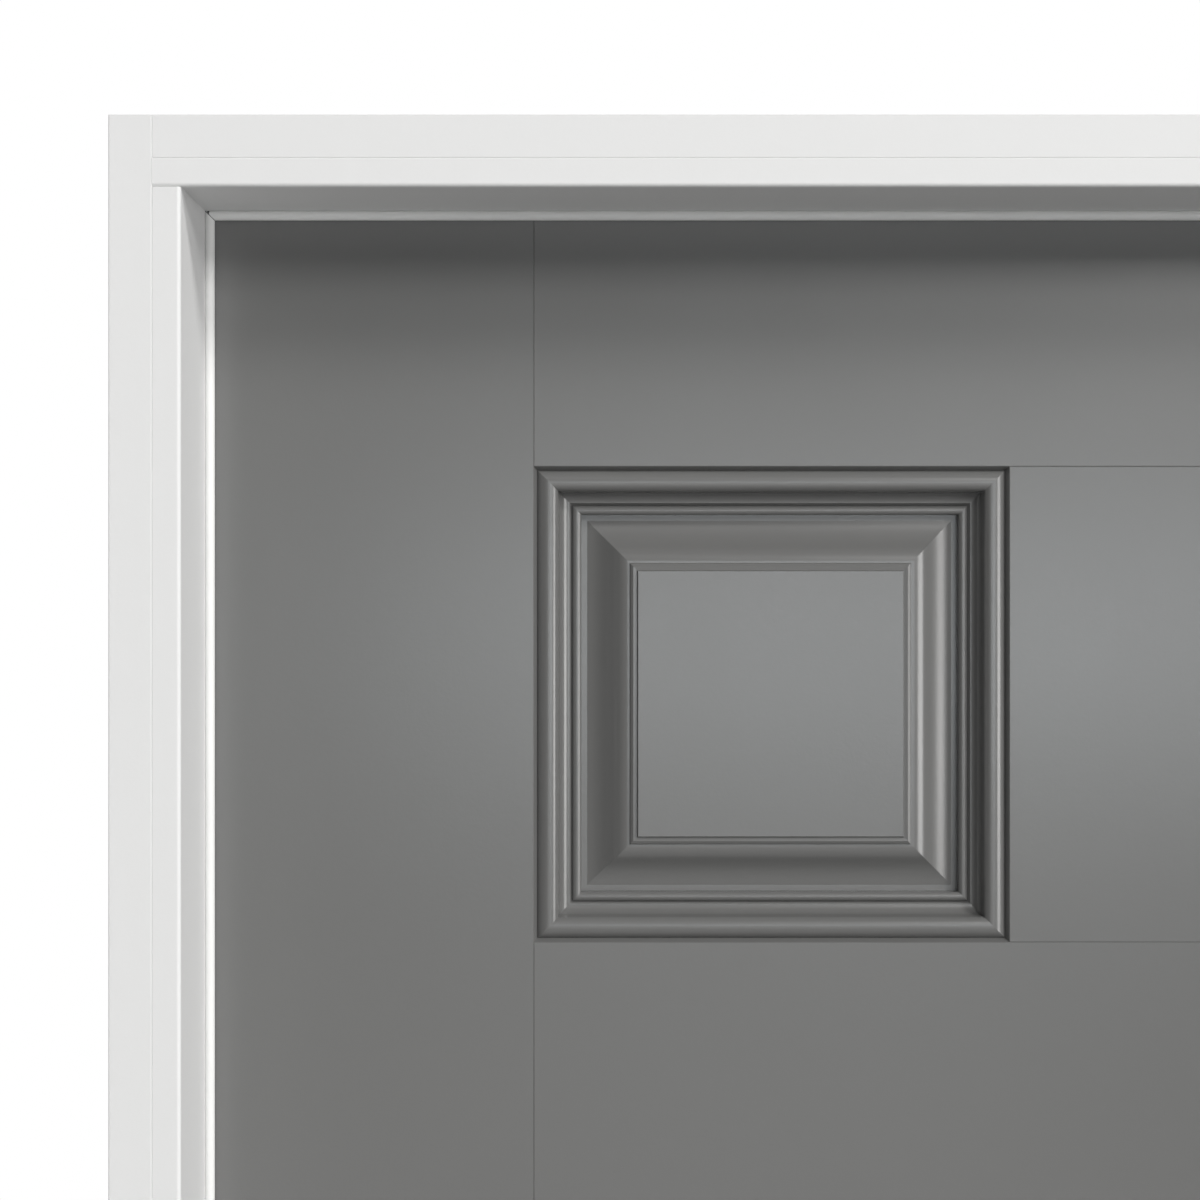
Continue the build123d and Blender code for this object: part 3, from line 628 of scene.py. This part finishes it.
def screw_head(build, place, facing, turn):
    """One head at place, facing along a direction, turned by an angle."""
    before = set(build.verts)
    gap_edge = ring(build, HEAD_RADIUS * GAP_SHARE, GAP_RISE)
    gap_foot = ring(build, HEAD_RADIUS * FOOT_SHARE, FOOT_RISE)
    rim = ring(build, HEAD_RADIUS, HEAD_RISE * RIM_SHARE)
    face_edge = ring(build, HEAD_RADIUS * FACE_SHARE, HEAD_RISE)
    skin(build, gap_edge, gap_foot, SHADE)
    skin(build, gap_foot, rim, METAL)
    skin(build, rim, face_edge, METAL)
    mouth = cross(build, 1.0, HEAD_RISE)
    recess_floor = cross(build, RECESS_SHARE, HEAD_RISE - RECESS_DEPTH)
    skin(build, mouth, recess_floor, SHADE)
    build.faces.new(recess_floor).material_index = SHADE
    loops = [
        build.edges.get((row[step - 1], row[step]))
        for row in (face_edge, mouth)
        for step in range(len(row))
    ]
    bmesh.ops.triangle_fill(build, use_beauty=True, edges=loops)
    made = [vertex for vertex in build.verts if vertex not in before]
    upright = facing.to_track_quat("Z", "Y").to_matrix().to_4x4()
    lay = Matrix.Translation(place) @ upright @ Matrix.Rotation(turn, 4, "Z")
    bmesh.ops.transform(build, matrix=lay, verts=made)


def add_piece(name, build, materials, body):
    """Turns a bmesh into a piece that rides on a body and takes a slot's finish."""
    bmesh.ops.recalc_face_normals(build, faces=build.faces)
    mesh = bpy.data.meshes.new(name)
    build.to_mesh(mesh)
    build.free()
    for material in materials:
        mesh.materials.append(material)
    piece = bpy.data.objects.new(name, mesh)
    bpy.context.collection.objects.link(piece)
    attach(piece, body)
    print(name, len(mesh.polygons), "faces")


# %% [markdown]
# A 4 in butt hinge has four screws in each plate: the outer two nearer to the pin, the
# middle two further from it. Their level comes from the plate's box. The plates are let
# in flush, so the screws sit on the jamb's face and on the leaf's edge.

# %% Screw the hinges on
SCREW_LEVELS = (-39.0, -14.5, 14.5, 39.0)  # millimetres from the plate's middle
SCREW_DEPTHS = (13.5, 26.0, 26.0, 13.5)  # in from the leaf's inside face
SCREW_TURNS = (0.3, 1.1, 0.7, 1.35, 0.05, 0.9, 0.5, 1.2, 0.2, 0.8, 1.45, 0.6)

leaf_low, leaf_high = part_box("hinge_stile")
for body, face_x, facing in (
    ("frame", jamb_high.x, Vector((1, 0, 0))),
    ("leaf", leaf_low.x, Vector((-1, 0, 0))),
):
    build = bmesh.new()
    turns = iter(SCREW_TURNS)
    for hinge in ("top", "middle", "bottom"):
        plate_low, plate_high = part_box("hinge_frame_leaf_" + hinge)
        middle = (plate_low.z + plate_high.z) / 2
        for level, depth in zip(SCREW_LEVELS, SCREW_DEPTHS):
            place = Vector((face_x, leaf_high.y - depth * MM, middle + level * MM))
            screw_head(build, place, facing, next(turns))
    add_piece(body + "_hinge_screws", build, (screw_metal, screw_recess_shade), body)

# %% [markdown]
# The oak cap can be raised or lowered: four screws in its top do that, set between the
# sweep's fins so that the fins pass them. They are the same heads.

# %% Set the adjusting screws in the cap
CAP_SCREWS = (-0.36, -0.12, 0.12, 0.36)  # along the cap
CAP_SCREW_OUT = 7.2 * MM  # from the cap's middle towards the outside
CAP_SCREW_SUNK = 0.1 * MM

cap_low, cap_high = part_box("threshold_cap")
build = bmesh.new()
screw_y = (cap_low.y + cap_high.y) / 2 - CAP_SCREW_OUT
for x, turn in zip(CAP_SCREWS, SCREW_TURNS):
    screw_head(build, Vector((x, screw_y, cap_high.z - CAP_SCREW_SUNK)), Vector((0, 0, 1)), turn)
add_piece("cap_screws", build, (screw_metal, screw_recess_shade), "frame")

# %% [markdown]
# An aluminium tread is drawn with low ribs along it, so that a wet shoe doesn't slip. A
# rib is one rounded profile, pulled along X and run out flat at both ends. The ribs stop
# short of the stops, which stand on the tread. In front of the frame they run nearly to
# the tread's own ends.

# %% Rib the tread
RIB_PITCH = 5 * MM
RIB_PROFILE = ((-0.9, -0.05), (-0.6, 0.34), (-0.25, 0.5), (0.25, 0.5), (0.6, 0.34), (0.9, -0.05))
RIB_RUN_OUT = 2.0 * MM
RIB_CLEAR = 1.0 * MM  # from the stops
NOSE_LEVEL = 19.5 * MM  # top of the tread at its outside edge
CAP_GAP = 0.3 * MM  # between the tread and the cap


def lay_strip(build, rows):
    """Faces between neighbouring open rows of vertices."""
    for first, second in zip(rows, rows[1:]):
        for step in range(len(first) - 1):
            build.faces.new((first[step], first[step + 1], second[step + 1], second[step]))


tread_low, tread_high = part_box("threshold_tread")
slope = (tread_high.z - NOSE_LEVEL) / (cap_low.y - CAP_GAP - tread_low.y)
stop_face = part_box("lock_stop")[0].x
build = bmesh.new()
rib_y = tread_low.y + RIB_PITCH
while rib_y < leaf_low.y - RIB_PITCH:
    half = stop_face - RIB_CLEAR if rib_y > -RIB_PITCH else tread_high.x - 2 * RIB_CLEAR
    full = half - RIB_RUN_OUT
    rows = []
    for x, share in ((-half, 0.0), (-full, 1.0), (full, 1.0), (half, 0.0)):
        row = []
        for across, rise in RIB_PROFILE:
            y = rib_y + across * MM
            level = NOSE_LEVEL + slope * (y - tread_low.y)
            raised = rise * share if rise > 0 else rise
            row.append(build.verts.new((x, y, level + raised * MM)))
        rows.append(row)
    lay_strip(build, rows)
    rib_y += RIB_PITCH
add_piece("tread_ribs", build, (tread_metal,), "frame")

# %% [markdown]
# Where the head seal meets a side seal, the mitre doesn't quite close: its outer half
# opens into a small gap in shade. A thin near black wedge, painted shade, stands in for it.
# The wedge lies on the head seal's bulb, whose curve is part of a circle, so each step of it
# is set to that circle.

# %% Open the seals' mitres a little
BULB_RADIUS = 2.294 * MM
BULB_MIDDLE_IN = 14.936 * MM  # in from the jamb or head
BULB_MIDDLE_Y = 69.136 * MM
WEDGE_PROUD = 0.04 * MM  # in front of the bulb
WEDGE_LEVELS = (12.95, 13.4, 13.9, 14.4, 14.85, 15.2)  # below the head, in millimetres
WEDGE_LEFT = (13.85, 13.95, 14.15, 14.45, 14.85, 15.2)  # its two edges, in from the jamb
WEDGE_RIGHT = (14.95, 14.85, 14.8, 14.85, 15.05, 15.3)

head_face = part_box("head_jamb")[0].z
build = bmesh.new()
for side in (1, -1):
    rows = []
    for level, left, right in zip(WEDGE_LEVELS, WEDGE_LEFT, WEDGE_RIGHT):
        rise = math.sqrt(BULB_RADIUS**2 - (level * MM - BULB_MIDDLE_IN) ** 2)
        y = BULB_MIDDLE_Y - rise - WEDGE_PROUD
        z = head_face - level * MM
        edges = [side * (jamb_high.x + across * MM) for across in (left, right)]
        rows.append([build.verts.new((x, y, z)) for x in edges])
    lay_strip(build, rows)
add_piece("seal_corner_painted_shade", build, (gap_shade,), "frame")

# %% [markdown]
# Each node takes its finish by its name. A CAD object keeps its mesh: only its material
# slot is filled.


# %% Give every node its finish
def finish_of(node):
    """The material of a CAD node, by its name."""
    by_name = {
        "lock_stile": bored_paint,
        "sill": sill_composite,
        "threshold_tread": tread_metal,
        "threshold_cap": oiled_oak,
        "corner_pads": pad_foam,
        "door_sweep": black_rubber,
        "hinge_pins": hinge_metal,
    }
    if node in by_name:
        return by_name[node]
    if node.endswith("_seal"):
        return seal_skin
    if "_frame_leaf" in node or "_door_leaf" in node:
        return hinge_metal
    if node.endswith(("_jamb", "_stop")):
        return white_paint
    return grey_paint


for node, piece in nodes.items():
    piece.data.materials.clear()
    piece.data.materials.append(finish_of(node))
print("finishes given to", len(nodes), "nodes")
